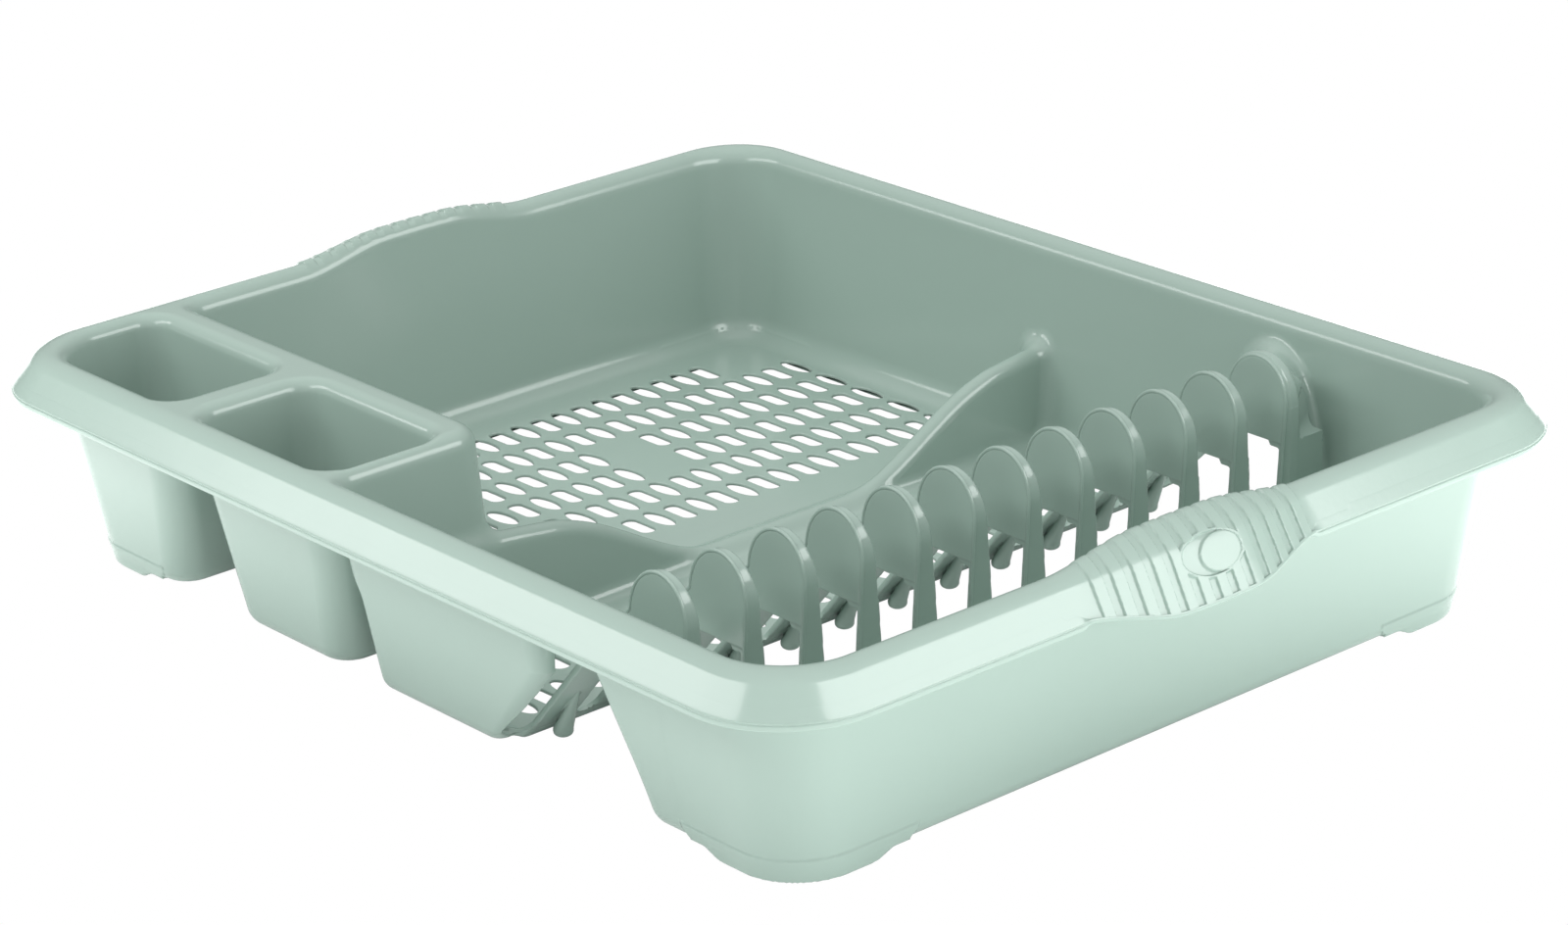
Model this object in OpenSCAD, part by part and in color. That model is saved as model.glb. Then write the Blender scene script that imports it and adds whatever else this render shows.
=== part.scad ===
// Dish drying rack: a one-piece moulded tray with a slotted basin, two cutlery cups
// and a row of hollow plate fins over an open slot. Each node is one region of the
// moulding, cut where the real part changes shape, and neighbours meet face to face.
// X runs along the length with the fins at +X, -Y is the cutlery side, and +Z is up
// from the surface that the four corner feet stand on.

/* [Rim] */
// Length of the rim over its outside edges, without the grips
rim_len = 465.5; // [440:0.5:520]
// Width of the rim over its outside edges
rim_wid = 383; // [350:1:440]
// Height of the rim crest above the surface
crest_h = 84; // [80:1:96]
// Plan radius of the rim's outside corners
rim_corner = 40; // [34:1:46]
// Height of the lower edge of the turned-down lip
lip_h = 68.7; // [66:0.1:72]
// Half the length of each grip along the short side
grip_half = 60; // [50:1:70]
// How far each grip bulges out past the rim
grip_out = 9; // [4:0.5:12]
// How far each grip rises above the rim crest
grip_rise = 6.7; // [3:0.1:8]

/* [Walls] */
// Thickness of the outer walls
wall = 2.5; // [2:0.1:3]
// Thickness of the floors and inner skins
skin = 2; // [1.8:0.1:2.4]
// Distance from the rim's outside edge in to the wall, at the rim
top_in = 15.3; // [14:0.1:17]
// Distance from the rim's outside edge in to the wall, at the surface
base_in = 27.5; // [24:0.5:30]
// Height of the floor's underside, which is also the height of the feet
floor_h = 3; // [2:0.5:4]

/* [Basin floor] */
// Spacing of the floor slots across the tray
slot_pitch_y = 10.4; // [9:0.1:12]
// Spacing of the rows of floor slots along the tray
slot_pitch_x = 22; // [20:0.5:24]
// Length of one floor slot
slot_len = 15; // [12:0.5:17]
// Width of one floor slot
slot_w = 5.2; // [4:0.1:6]

/* [Divider] */
// Middle of the wavy divider between the basin and the plate trough
divider_x = -23; // [-30:1:-20]
// Thickness of the hollow divider
divider_w = 10; // [8:0.5:12]
// Height of the divider's ridge at its low middle
divider_low = 8; // [7:0.5:12]
// Height of the divider's ridge at its two ends
divider_high = 43; // [36:1:48]

/* [Plate fins] */
// Spacing of the plate fins
fin_pitch = 26; // [25:0.5:27]
// Height of the top of the fins
fin_top = 82; // [76:1:83]
// Place of the fins' highest point along the tray
fin_x = 117; // [114:1:119]
// Width of a plate slot in the sloping web
plate_slot_w = 12; // [10:0.5:13]

/* [Hidden] */
$fn = 32;
eps = 0.01;
n_fins = 12;
half_x = rim_len / 2;
half_y = rim_wid / 2;
floor_top = floor_h + skin;
wall_top = crest_h - 8;
rim_in = 20.5;
corner_x = half_x - rim_corner;
corner_y = half_y - rim_corner;
base_r = 24.5;
top_r = 29;
// Plane between the left wall, with its rounded corner, and the back wall
cut_x = 150;
deck_bottom = crest_h - 5;
deck_top = crest_h - 1.5;
// Block of space under the cups, whose skin closes the basin in front
block_x = -24;
block_y = -110;
block_spread = 7;
// Sloping web under the fins: foot, knee and head in the XZ plane
web_foot = [56, floor_h];
web_knee = [56, floor_h + 5];
web_head = [90, 50];
web_skin = 3;
gap_right = [118, 134];
fin_leg_x = 132;
end_slot_len = 18;
sage = "#b4c9bd";
sage_light = "#d3e6dc";
sage_dark = "#8fa79b";

// ---------- shared shapes ----------

// Distance in from the rim's outside edge to the outer wall face at height z
function inset(z) = base_in + (top_in - base_in) * z / wall_top;
function wall_r(z) = base_r + (top_r - base_r) * z / wall_top;
function smooth(t) = let (u = min(max(t, 0), 1)) u * u * (3 - 2 * u);
function fin_y(i) = (i - (n_fins + 1) / 2) * fin_pitch;

module rounded_rect(hx, hy, r) {
    hull() for (sx = [-1, 1], sy = [-1, 1]) translate([sx * (hx - r), sy * (hy - r)]) circle(r);
}

// Solid inside the outer wall faces, drawn in by depth, between heights z0 and z1
module tub(z0, z1, depth = 0) {
    hull() for (z = [z0, z1])
        translate([0, 0, z - (z == z1 ? eps : 0)]) linear_extrude(eps)
            rounded_rect(half_x - inset(z) - depth, half_y - inset(z) - depth, wall_r(z) - depth);
}

// Prism inside the rim's inner face
module rim_well(z0, z1) {
    translate([0, 0, z0]) linear_extrude(z1 - z0)
        rounded_rect(half_x - rim_in, half_y - rim_in, rim_corner - rim_in);
}

module slab(x0, x1, y0, y1, z0, z1) {
    translate([x0, y0, z0]) cube([x1 - x0, y1 - y0, z1 - z0]);
}

// Space under the cups: its inner faces spread towards the base
module cup_block(grow = 0) {
    hull() for (s = [[floor_h - 1, block_spread], [deck_bottom, 0]])
        translate([-half_x - 50, -half_y - 50, s[0]]) linear_extrude(eps)
            offset(11) square([half_x + 50 + block_x + s[1] + grow - 11,
                               half_y + 50 + block_y + s[1] + grow - 11]);
}

module shell() {
    difference() {
        tub(floor_top, wall_top);
        tub(floor_top - 1, wall_top + 1, wall);
    }
}

// Full-width prism on an outline in the XZ plane
module across(outline) {
    rotate([90, 0, 0]) linear_extrude(rim_wid + 20, center = true) polygon(outline);
}

// The stretch of wall that ends at the sloping web's face
module basin_side() {
    across([[-half_x, 0], [web_foot.x, 0], web_foot, web_knee, web_head,
            [web_head.x, crest_h], [-half_x, crest_h]]);
}

// The stretch of wall beyond the opening under the fins
module rack_side() {
    across([[half_x, 0], [gap_right[1], 0], [gap_right[1], floor_h],
            [gap_right[0], web_head.y], [gap_right[0], crest_h], [half_x, crest_h]]);
}

// ---------- rim and grips ----------

// Rim cross-section, measured in from the outside edge; b is 1 at a grip's middle
function rim_section(b) = [
    [-grip_out * b, lip_h - 2.4 * b],
    [-grip_out * b, lip_h + 2.8 - 2.4 * b],
    [9 - 6 * b, crest_h - 2 + 3 * b],
    [14 - 2 * b, crest_h + grip_rise * b],
    [17.5, crest_h + grip_rise * b],
    [rim_in, crest_h - 3 + grip_rise * b],
    [rim_in, wall_top],
    [13, wall_top],
    [11 - 4 * b, crest_h - 4.6 + 2 * b],
    [2.3 - grip_out * b, lip_h - 2.4 * b]];

module rim_corner_piece(sx, sy) {
    translate([sx * corner_x, sy * corner_y]) rotate(sx > 0 ? (sy > 0 ? 0 : 270) : (sy > 0 ? 90 : 180))
        rotate_extrude(angle = 90)
            polygon([for (p = rim_section(0)) [rim_corner - p.x, p.y]]);
}

// Straight rim along Y between y0 and y1, on the side sx
module rim_side_run(sx, y0, y1) {
    translate([0, y1, 0]) rotate([90, 0, 0]) linear_extrude(y1 - y0)
        polygon([for (p = rim_section(0)) [sx * (half_x - p.x), p.y]]);
}

// Half of the rim on the side sy: a straight run, two corners and two short runs
module rim_half(sy) {
    rotate([90, 0, 90]) translate([0, 0, -corner_x]) linear_extrude(2 * corner_x)
        polygon([for (p = rim_section(0)) [sy * (half_y - p.x), p.y]]);
    for (sx = [-1, 1]) {
        rim_corner_piece(sx, sy);
        rim_side_run(sx, sy > 0 ? grip_half : -corner_y, sy > 0 ? corner_y : -grip_half);
    }
}

module rim_front() { color(sage_light) rim_half(-1); }
module rim_back() { color(sage_light) rim_half(1); }

// Grip: the rim section swells outwards and upwards along a smooth hump
module grip(sx) {
    steps = 24;
    sides = len(rim_section(0));
    ys = [for (i = [0:steps]) -grip_half + 2 * grip_half * i / steps];
    points = [for (y = ys, p = rim_section(smooth(1.35 * (1 - abs(y) / grip_half))))
        [half_x - p.x, y, p.y]];
    faces = concat(
        [[for (k = [0:sides - 1]) k]],
        [for (i = [0:steps - 1], k = [0:sides - 1])
            [i * sides + k, (i + 1) * sides + k, (i + 1) * sides + (k + 1) % sides, i * sides + (k + 1) % sides]],
        [[for (k = [sides - 1:-1:0]) steps * sides + k]]);
    mirror([sx > 0 ? 0 : 1, 0, 0]) polyhedron(points, faces);
}

module grip_left() { color(sage_light) grip(-1); }
module grip_right() { color(sage_light) grip(1); }

// ---------- outer walls ----------

module wall_left() {
    color(sage) difference() {
        intersection() { shell(); slab(-half_x, -cut_x, -half_y, half_y, 0, crest_h); }
        cup_block();
    }
}

module wall_right() {
    color(sage) intersection() { shell(); rack_side(); }
}

module wall_back() {
    color(sage) intersection() {
        shell();
        slab(-cut_x, half_x, 0, half_y, 0, crest_h);
        basin_side();
    }
}

module wall_front() {
    color(sage) difference() {
        intersection() { shell(); slab(block_x - 5, half_x, -half_y, 0, 0, crest_h); basin_side(); }
        cup_block();
    }
}

// Band of wall over the opening under the fins
module bridge(sy) {
    color(sage) intersection() {
        shell();
        slab(web_head.x, gap_right[0], sy > 0 ? 0 : -half_y, sy > 0 ? half_y : 0, web_head.y, crest_h);
    }
}

module bridge_front() { bridge(-1); }
module bridge_back() { bridge(1); }

// ---------- cutlery corner ----------

// Solid between two rectangles: at the deck and at the base, clipped by the tub
module cup_body(x_top, x_base, y_top, y_base, r, z0, z1, depth) {
    intersection() {
        tub(z0, z1, depth);
        hull() for (s = [[z0, x_base, y_base], [z1, x_top, y_top]])
            translate([0, 0, s[0] - (s[0] == z1 ? eps : 0)]) linear_extrude(eps)
                translate([s[1][0] + r, -half_y]) offset(r)
                    square([s[1][1] - s[1][0] - 2 * r, half_y + s[2] - r]);
    }
}

module cup(x_top, x_base) {
    difference() {
        cup_body(x_top, x_base, -114, -126, 10, floor_h, deck_bottom, 0);
        cup_body([x_top[0] + skin, x_top[1] - skin], [x_base[0] + skin, x_base[1] - skin],
                 -114 - skin, -126 - skin, 8, floor_top, deck_bottom + eps, wall);
        difference() {
            slab(-half_x, 0, -half_y, 0, wall_top, crest_h);
            rim_well(wall_top - 1, crest_h + 1);
        }
    }
}

cup_1_top = [-half_x, -124];
cup_1_base = [-half_x, -139];
cup_2_top = [-111, -27.5];
cup_2_base = [-100, -40];
cup_mouths = [[-208, -126], [-109, -29.5]];
mouth_back = -118;

module cutlery_cup_1() { color(sage) cup(cup_1_top, cup_1_base); }
module cutlery_cup_2() { color(sage) cup(cup_2_top, cup_2_base); }

// Skin that closes the basin and the trough off from the space under the cups
module basin_front_skin() {
    color(sage_dark) intersection() {
        difference() { cup_block(skin); cup_block(); }
        slab(-half_x, 0, -half_y, 0, floor_top, deck_bottom);
        union() {
            tub(floor_top, wall_top, wall);
            rim_well(wall_top, deck_bottom);
        }
    }
}

// Flat top around the two cup mouths
module cup_deck() {
    color(sage_light) difference() {
        intersection() {
            rim_well(deck_bottom, deck_top);
            translate([0, 0, deck_bottom]) linear_extrude(deck_top - deck_bottom)
                translate([-half_x - 50, -half_y - 50]) offset(11)
                    square([half_x + 39 + block_x + skin, half_y + 39 + block_y + skin]);
        }
        for (mouth = cup_mouths)
            translate([mouth[0] + 11, -half_y, deck_bottom - 1])
                linear_extrude(deck_top - deck_bottom + 2)
                    offset(11) square([mouth[1] - mouth[0] - 22, half_y + mouth_back - 11]);
    }
}

// ---------- floors ----------

// One floor slot: a bar with round ends, or a leaf with pointed ends
module floor_slot(leaf) {
    if (leaf) {
        leaf_r = (slot_len * slot_len + slot_w * slot_w) / (4 * slot_w);
        intersection() {
            translate([0, leaf_r - slot_w / 2]) circle(leaf_r, $fn = 96);
            translate([0, slot_w / 2 - leaf_r]) circle(leaf_r, $fn = 96);
        }
    } else {
        square([slot_len - slot_w, slot_w], center = true);
        for (s = [-1, 1]) translate([s * (slot_len - slot_w) / 2, 0]) circle(slot_w / 2);
    }
}

// Rows of slots from column i0 to i1 and row j0 to j1, around the first slot's place
module slot_field(x0, rows, y0, cols, blank) {
    for (i = rows, j = cols)
        if (!(i >= blank[0] && i <= blank[1] && j >= blank[2] && j <= blank[3]))
            translate([x0 + i * slot_pitch_x, y0 + j * slot_pitch_y]) floor_slot(j % 2 == 0);
}

module floor_plate(x0, x1) {
    difference() {
        intersection() { tub(floor_h, floor_top); slab(x0, x1, -half_y, half_y, 0, crest_h); }
        cup_block();
    }
}

module basin_floor() {
    color(sage_dark) difference() {
        floor_plate(-half_x, divider_x - divider_w / 2);
        translate([0, 0, floor_h - 1]) linear_extrude(skin + 2)
            slot_field(-175.5, [0:5], 1.7, [-8:14], [2, 3, 3, 4]);
    }
}

module trough_floor() {
    color(sage_dark) difference() {
        floor_plate(divider_x + divider_w / 2, web_foot.x);
        translate([0, 0, floor_h - 1]) linear_extrude(skin + 2)
            slot_field(0, [0:1], 1.7, [-13:13], [9, 9, 0, 0]);
    }
}

// Floor behind the fin legs, with the far end of each plate slot
module rack_floor() {
    color(sage_dark) difference() {
        floor_plate(fin_leg_x - 2, half_x);
        for (i = [0:n_fins]) translate([fin_leg_x - 3, fin_y(i + 0.5), floor_h - 1]) {
            translate([0, -plate_slot_w / 2, 0]) cube([end_slot_len, plate_slot_w, skin + 2]);
            translate([end_slot_len, 0, 0]) cylinder(r = plate_slot_w / 2, h = skin + 2);
        }
    }
}

// ---------- divider ----------

divider_mid = 29;
divider_flat = 16;
divider_end = 134;
function ridge(y) = divider_low + (divider_high - divider_low)
    * smooth((abs(y - divider_mid) - divider_flat) / (divider_end - divider_flat));

module wave_plate(x_mid, width, drop, y0, y1, z0) {
    steps = 56;
    translate([x_mid - width / 2, 0, 0]) rotate([90, 0, 90]) linear_extrude(width)
        polygon(concat([[y0, z0]],
            [for (i = [0:steps]) let (y = y0 + (y1 - y0) * i / steps) [y, ridge(y) - drop]],
            [[y1, z0]]));
}

module wave_divider() {
    color(sage) difference() {
        intersection() {
            wave_plate(divider_x, divider_w, 0, block_y, half_y, floor_top);
            tub(floor_top, wall_top, wall);
        }
        wave_plate(divider_x, divider_w - 2 * skin, skin, block_y - 1, half_y + 1, floor_top - 1);
        cup_block(skin);
    }
}

// Upright half-round where the divider's ridge meets the back wall
module divider_pilaster() {
    color(sage) intersection() {
        translate([divider_x, half_y - inset(divider_high) - wall, ridge(half_y)])
            cylinder(r = divider_w / 2, h = 3);
        tub(floor_top, wall_top, wall);
    }
}

// ---------- plate rack ----------

module xz_prism(y0, y1) {
    translate([0, y1, 0]) rotate([90, 0, 0]) linear_extrude(y1 - y0) children();
}

web_run = (web_head.x - web_knee.x) / (web_head.y - web_knee.y);

// Sloping web from the trough floor up to the fins, open at every plate slot
module rack_web() {
    color(sage_dark) difference() {
        intersection() {
            xz_prism(-half_y, half_y)
                polygon([[web_foot.x, floor_top], web_knee, web_head,
                         [web_head.x - web_skin, web_head.y],
                         [web_foot.x - web_skin, web_knee.y + 1],
                         [web_foot.x - web_skin, floor_top]]);
            tub(floor_h, wall_top, wall);
            slab(web_foot.x - web_skin, half_x, -half_y, half_y, floor_top, crest_h);
        }
        for (i = [0:n_fins]) translate([0, fin_y(i + 0.5), 0])
            xz_prism(-plate_slot_w / 2, plate_slot_w / 2)
                polygon([[web_foot.x - 10, web_knee.y + 3], [web_foot.x + 10, web_knee.y + 3],
                         [web_head.x + 10, web_head.y - 6], [web_head.x - 14, web_head.y - 6]]);
    }
}

// Pointed ribs under the web, one below each fin
module web_ribs() {
    color(sage_dark) for (i = [1:n_fins]) translate([0, fin_y(i), 0])
        xz_prism(-4, 4)
            polygon([web_foot, [web_foot.x + 6, floor_h],
                     [web_knee.x + 17 * web_run, web_knee.y + 17], web_knee]);
}

// Fin outline in the XZ plane, drawn in by t
function fin_outline(t) = concat(
    [[web_head.x - web_skin + t, web_head.y]],
    [for (a = [170:-15:5]) [fin_x - 1 + (15.5 - t) * cos(a) + (a > 90 ? 3 * cos(a) : 0),
                            fin_top - 18 + (18 - t) * sin(a)]],
    [[fin_leg_x - 0.5 - t, fin_top - 24], [fin_leg_x - t, web_head.y - 7],
     [fin_leg_x + 2 - t, floor_top], [fin_leg_x + 2 - 2 * skin, floor_top],
     [fin_leg_x - 2 * skin, web_head.y - 7], [fin_leg_x - 2 * skin, web_head.y]]);

// Slice of the fin's draft: narrow at the top and wide at the base
module fin_draft(t) {
    rotate([90, 0, 90]) linear_extrude(half_x)
        polygon([for (p = [[2.3, fin_top], [4.7, 54], [6.2, 24], [6.8, floor_top]]) [p.x - t, p.y + eps],
                 for (p = [[6.8, floor_top], [6.2, 24], [4.7, 54], [2.3, fin_top]]) [t - p.x, p.y + eps]]);
}

module plate_fin(i) {
    color(sage) translate([0, fin_y(i), 0]) difference() {
        intersection() {
            xz_prism(-8, 8) polygon(fin_outline(0));
            translate([0, 0, -eps]) fin_draft(0);
        }
        intersection() {
            xz_prism(-8, 8) polygon(concat(
                [[web_head.x + 1, web_head.y - 1]],
                [for (p = fin_outline(skin)) if (p.y > web_head.y + 0.1) p],
                [[fin_leg_x - skin, web_head.y - 1]]));
            translate([0, 0, -eps]) fin_draft(skin * 0.8);
        }
    }
}

// Half fin that stands on the front or back wall
module rack_boss(sy) {
    color(sage) mirror([0, sy > 0 ? 0 : 1, 0]) intersection() {
        xz_prism(158, half_y) polygon([
            for (a = [180:-15:0]) [104 + 17 * cos(a), 60 + 18 * sin(a)],
            [123, 52], [gap_right[0] + 1, web_head.y], [87, web_head.y]]);
        tub(floor_top, wall_top, wall);
    }
}

module rack_boss_front() { rack_boss(-1); }
module rack_boss_back() { rack_boss(1); }

// ---------- feet ----------

module foot(sx, sy, reach) {
    color(sage) intersection() {
        difference() {
            tub(0, floor_h);
            tub(-1, floor_h + 1, 12);
        }
        slab(sx > 0 ? half_x - reach : -half_x, sx > 0 ? half_x : -half_x + reach,
             sy > 0 ? half_y - reach : -half_y, sy > 0 ? half_y : -half_y + reach, 0, floor_h);
    }
}

module foot_front_left() { foot(-1, -1, 66); }
module foot_front_right() { foot(1, -1, 66); }
module foot_back_left() { foot(-1, 1, 66); }
module foot_back_right() { foot(1, 1, 66); }

rim_front();
rim_back();
grip_left();
grip_right();
wall_left();
wall_back();
wall_right();
wall_front();
bridge_front();
bridge_back();
basin_front_skin();
cup_deck();
cutlery_cup_1();
cutlery_cup_2();
basin_floor();
wave_divider();
trough_floor();
rack_floor();
rack_web();
web_ribs();
rack_boss_front();
rack_boss_back();
divider_pilaster();
foot_front_left();
foot_front_right();
foot_back_left();
foot_back_right();
plate_fin(1);  // plate_fin_01
plate_fin(2);  // plate_fin_02
plate_fin(3);  // plate_fin_03
plate_fin(4);  // plate_fin_04
plate_fin(5);  // plate_fin_05
plate_fin(6);  // plate_fin_06
plate_fin(7);  // plate_fin_07
plate_fin(8);  // plate_fin_08
plate_fin(9);  // plate_fin_09
plate_fin(10);  // plate_fin_10
plate_fin(11);  // plate_fin_11
plate_fin(12);  // plate_fin_12
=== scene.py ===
"""Dish drying rack: the moulded surfaces, plastic, light and camera around the CAD frame.

The rack is one moulding, so its looks come from one distance field: the solid under the
moulding's upper surface, less the same solid drawn in by the sheet's thickness. Each piece
is the field's surface inside one region, so neighbours share their fillets exactly.

Sizes are in millimetres, and the meshes are made in metres. X runs along the long side
towards the plate fins, Y towards the back, and Z up from the surface the rack stands on.
Drafts and leans are millimetres sideways for each millimetre of height.
"""
import math

import bpy
import numpy as np
from mathutils import Matrix, Vector


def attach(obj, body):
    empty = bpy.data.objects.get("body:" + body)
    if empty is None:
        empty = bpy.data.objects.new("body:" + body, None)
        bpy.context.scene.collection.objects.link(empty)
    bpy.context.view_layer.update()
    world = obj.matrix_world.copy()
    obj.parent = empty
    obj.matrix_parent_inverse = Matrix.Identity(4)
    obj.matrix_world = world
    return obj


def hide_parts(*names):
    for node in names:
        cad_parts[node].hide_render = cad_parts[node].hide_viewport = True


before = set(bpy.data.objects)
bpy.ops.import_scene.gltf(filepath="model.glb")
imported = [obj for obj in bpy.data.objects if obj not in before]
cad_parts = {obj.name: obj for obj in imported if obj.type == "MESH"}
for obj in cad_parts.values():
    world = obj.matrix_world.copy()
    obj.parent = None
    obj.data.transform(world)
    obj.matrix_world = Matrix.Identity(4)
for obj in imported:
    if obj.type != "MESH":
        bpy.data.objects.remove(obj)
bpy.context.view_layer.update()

MM = 0.001

# ---------- driving sizes ----------

# Plain rim: its outline, its crest, the foot of its slope, and the slope's inset at the crest
HALF_X, HALF_Y, CORNER_R = 232.75, 191.5, 40.0
CREST, LIP_TOP, SLOPE_INSET = 84.0, 71.5, 10.7

# Rounding of the crest and what a grip adds to it; a grip acts in this band along each side
CREST_ROUND, GRIP_ROUND, SIDE_BAND = 3.4, 7.0, 60.0

# Thickness of the walls and of the fins, and height of the floors
SHEET, FIN_SHEET, FLOOR = 2.55, 1.8, 5.0

# Grips: half length, shift along the side, and how far the rim bulges, dips and rises there
GRIP_HALF, GRIP_SHIFT = 58.0, 5.5
GRIP_OUT, GRIP_DROP, GRIP_RISE, GRIP_THIN = 9.1, 6.0, 6.7, 2.0

# Ribs across a grip: spacing, the first and last, slant, softness, and where they begin and end
RIB_PITCH, RIB_WIDTH, RIB_RISE = 7.8, 4.7, 1.0
RIB_FIRST, RIB_LAST, RIB_SLANT = -50.4, 12, 0.12
RIB_EDGE, RIB_START, RIB_END = 0.5, 0.2, 19.0

# Medallion: its middle along the rim and up the slope, the half sizes of its oval and disc
PAD_Y, PAD_UP = -2.0, 16.0
OVAL_HALF, DISC_HALF, DISC_SHIFT = (14.0, 7.6), (9.9, 7.0), (3.9, 0.1)

# Tub walls: inset at the foot and draft of the outer and inner faces, and corner radius
OUTER_INSET, OUTER_DRAFT = 27.5, 0.16
INNER_INSET, INNER_DRAFT = 30.7, 0.14
WALL_R, WALL_R_GROWTH, INNER_R_LESS = 24.5, 4.5 / 76, 2.0

# Cups and the block they are sunk in: faces at CUP_TOP, their drafts, and corner rounding
CUP_TOP, CUP_ROUND = 80.0, 10
BLOCK_X, BLOCK_Y, BLOCK_DRAFTS, BLOCK_ROUND = -22.5, -105.5, (0.045, 0.04), 13
CUP_BACK_Y, CUP_BACK_DRAFT = -121.5, 0.1
CUP_1_RIGHT, CUP_1_DRAFT = -128.5, 0.2
CUP_2_LEFT, CUP_2_RIGHT, CUP_2_DRAFTS = -111.0, -30.0, (0.12, 0.14)

# Fillets at the foot of the well and of the cups, seen and under the sheet, and upper edges
WELL_FILLET, CUP_FILLET, UNDER_FILLET = 9, 6, 3.5
WELL_EDGE, CUP_EDGE = 6.5, 5

# Fins along Y: their pitch, the middle of the last one, and the outer end of their row
FIN_PITCH = 25.78
FIN_END_Y, SLOT_END_Y = 5.5 * FIN_PITCH, 6 * FIN_PITCH

# Fins by height: top, foot of the solid part, top of the openings; and the end walls' face
FIN_TOP, FIN_FOOT, FIN_CUT, WALL_Y = 80.8, 45.0, 50.2, 157.5

# Half width of a fin's edge, above and below the bend: at the top of each stretch, and its draft
FIN_BEND, ARCH_HALF, ARCH_DRAFT, LEG_HALF, LEG_DRAFT = 52.0, 2.29, 0.069, 4.28, 0.057

# Outline of a fin: middle and radii of the arch, its leaning back, and its outer leg
ARCH_X, ARCH_Z, ARCH_RX, ARCH_RZ, ARCH_SCALE = 119.0, 64.1, 14.4, 16.7, 15.4
BACK_X, BACK_Z, BACK_LEAN, BACK_COS, BACK_SIN = 90.0, 50.0, 1.03, 0.697, 0.717
LEG_X, LEG_LEAN = 131.8, 0.027

# Bead along a fin's edge: radius, how deep it is sunk, and its distance in from the face
BEAD_R, BEAD_SUNK, BEAD_IN = 0.8, 0.1, 0.6

# Sloping web between the trough and the fins
WEB_X, WEB_Z, WEB_LEAN, WEB_COS, WEB_SECANT = 53.2, 7.0, 0.9, 0.743, 1.345

# Openings in the web: slots between the fins, wider ones at the end walls, and the gaps below
WEB_SLOT_X0, WEB_SLOT_X1, WEB_SLOT_Z, WEB_SLOT_HALF = 50, 97, 6.2, 5.2
END_SLOT_Y, END_SLOT_HALF = 158.0, 6.2
GAP_X0, GAP_END_X, GAP_END_R = 92, 140, 6.4
UNDER_X, UNDER_LEAN, UNDER_SHEET, LEG_SHEET = 126, 0.47, 3.4, 2.0

# Pointed ribs under the web: foot and tip as x and radius, and their heights
RIB_FOOT_X, RIB_FOOT_R, RIB_TIP_DX, RIB_TIP_DR = 59.6, 3.6, 10.0, 2.8
RIB_FOOT_Z, RIB_LENGTH, RIB_TOP_Z = 2.2, 18, 24

# Half fins on the end walls: their section where they meet the wall
BOSS_TOP, BOSS_LEFT_TOP, BOSS_LEFT_COS = 72.5, 42.0, 0.9
BOSS_RIGHT, BOSS_RIGHT_Z, BOSS_LEAN, BOSS_COS = 113.5, 68.0, 0.38, 0.93
BOSS_START_Y, BOSS_REACH, BOSS_BURIED_Y = 144.0, 24.0, 176.0

# Wavy divider between the basin and the trough
DIVIDER_X, DIVIDER_MID, DIVIDER_HALF, DIVIDER_DRAFT = -23.0, 29.0, 4.4, 0.05
RIDGE_LOW, RIDGE_RISE, RIDGE_START, RIDGE_LENGTH = 8, 31, 31, 80
SHOULDER_RISE, SHOULDER_START, SHOULDER_LENGTH = 4, 95, 45
POST_SHIFT, POST_R, POST_TOP, POST_Z = 2.0, 6.5, 42.5, 45.0

# Corner feet, by distance from the middle counted as |x| + |y|
FOOT_START, FOOT_DOWN, FOOT_FADE, FOOT_LIFT, FOOT_TOP = 318.0, 325.0, 9.0, 3.2, 9.0

# Slotted floors: slot pitch, and the plates' windows as x0, x1, y0, y1
SLOT_PITCH_X, SLOT_PITCH_Y = 22.1, 10.41
BASIN_WINDOW = (-184.5, -44.0, -90.5, 152.0)
TROUGH_WINDOW = (-9.0, 47.0, -150.0, 152.0)

# Looks: plastic colours, light table, ceiling, softboxes and fills
BASE_DARK, BASE_LIGHT = (0.332, 0.438, 0.387), (0.350, 0.460, 0.407)
TABLE_GLOW, SKY_LOW, SKY_TOP = 1.32, 0.05, 1.32
LEFT_GLOW, RIGHT_GLOW = 4.8, 5.6
SIDE_FILL, FRONT_FILL = 3.6, 1.6


# ---------- distance-field tools ----------

def round_and(a, b, r):
    """Intersection of two fields with a rounded edge of radius r."""
    return np.minimum(-r, np.maximum(a, b)) + np.hypot(np.maximum(a + r, 0), np.maximum(b + r, 0))


def round_or(a, b, r):
    """Union of two fields with a fillet of radius r."""
    return -round_and(-a, -b, r)


def rounded_rect(x, y, hx, hy, r):
    """Distance to a rectangle of half sizes hx and hy with corners of radius r."""
    qx = np.abs(x) - hx + r
    qy = np.abs(y) - hy + r
    return np.hypot(np.maximum(qx, 0), np.maximum(qy, 0)) + np.minimum(np.maximum(qx, qy), 0) - r


def smooth(t):
    """Soft step from 0 to 1."""
    t = np.clip(t, 0, 1)
    return t * t * (3 - 2 * t)


# ---------- the rim and its grips ----------

def grip_amount(y, side):
    """0 along the plain rim, rising smoothly to 1 in the middle of each grip."""
    u = np.clip(1 - np.abs(y + GRIP_SHIFT * side) / GRIP_HALF, 0, 1)
    return smooth(1.35 * u) * (1 - 0.12 * (1 - u))


def slope_line(b):
    """The rim slope's lower and upper ends as (inset, height), for a grip amount b."""
    return (-GRIP_OUT * b, LIP_TOP - GRIP_DROP * b,
            SLOPE_INSET - GRIP_THIN * b, CREST + GRIP_RISE * b)


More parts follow.
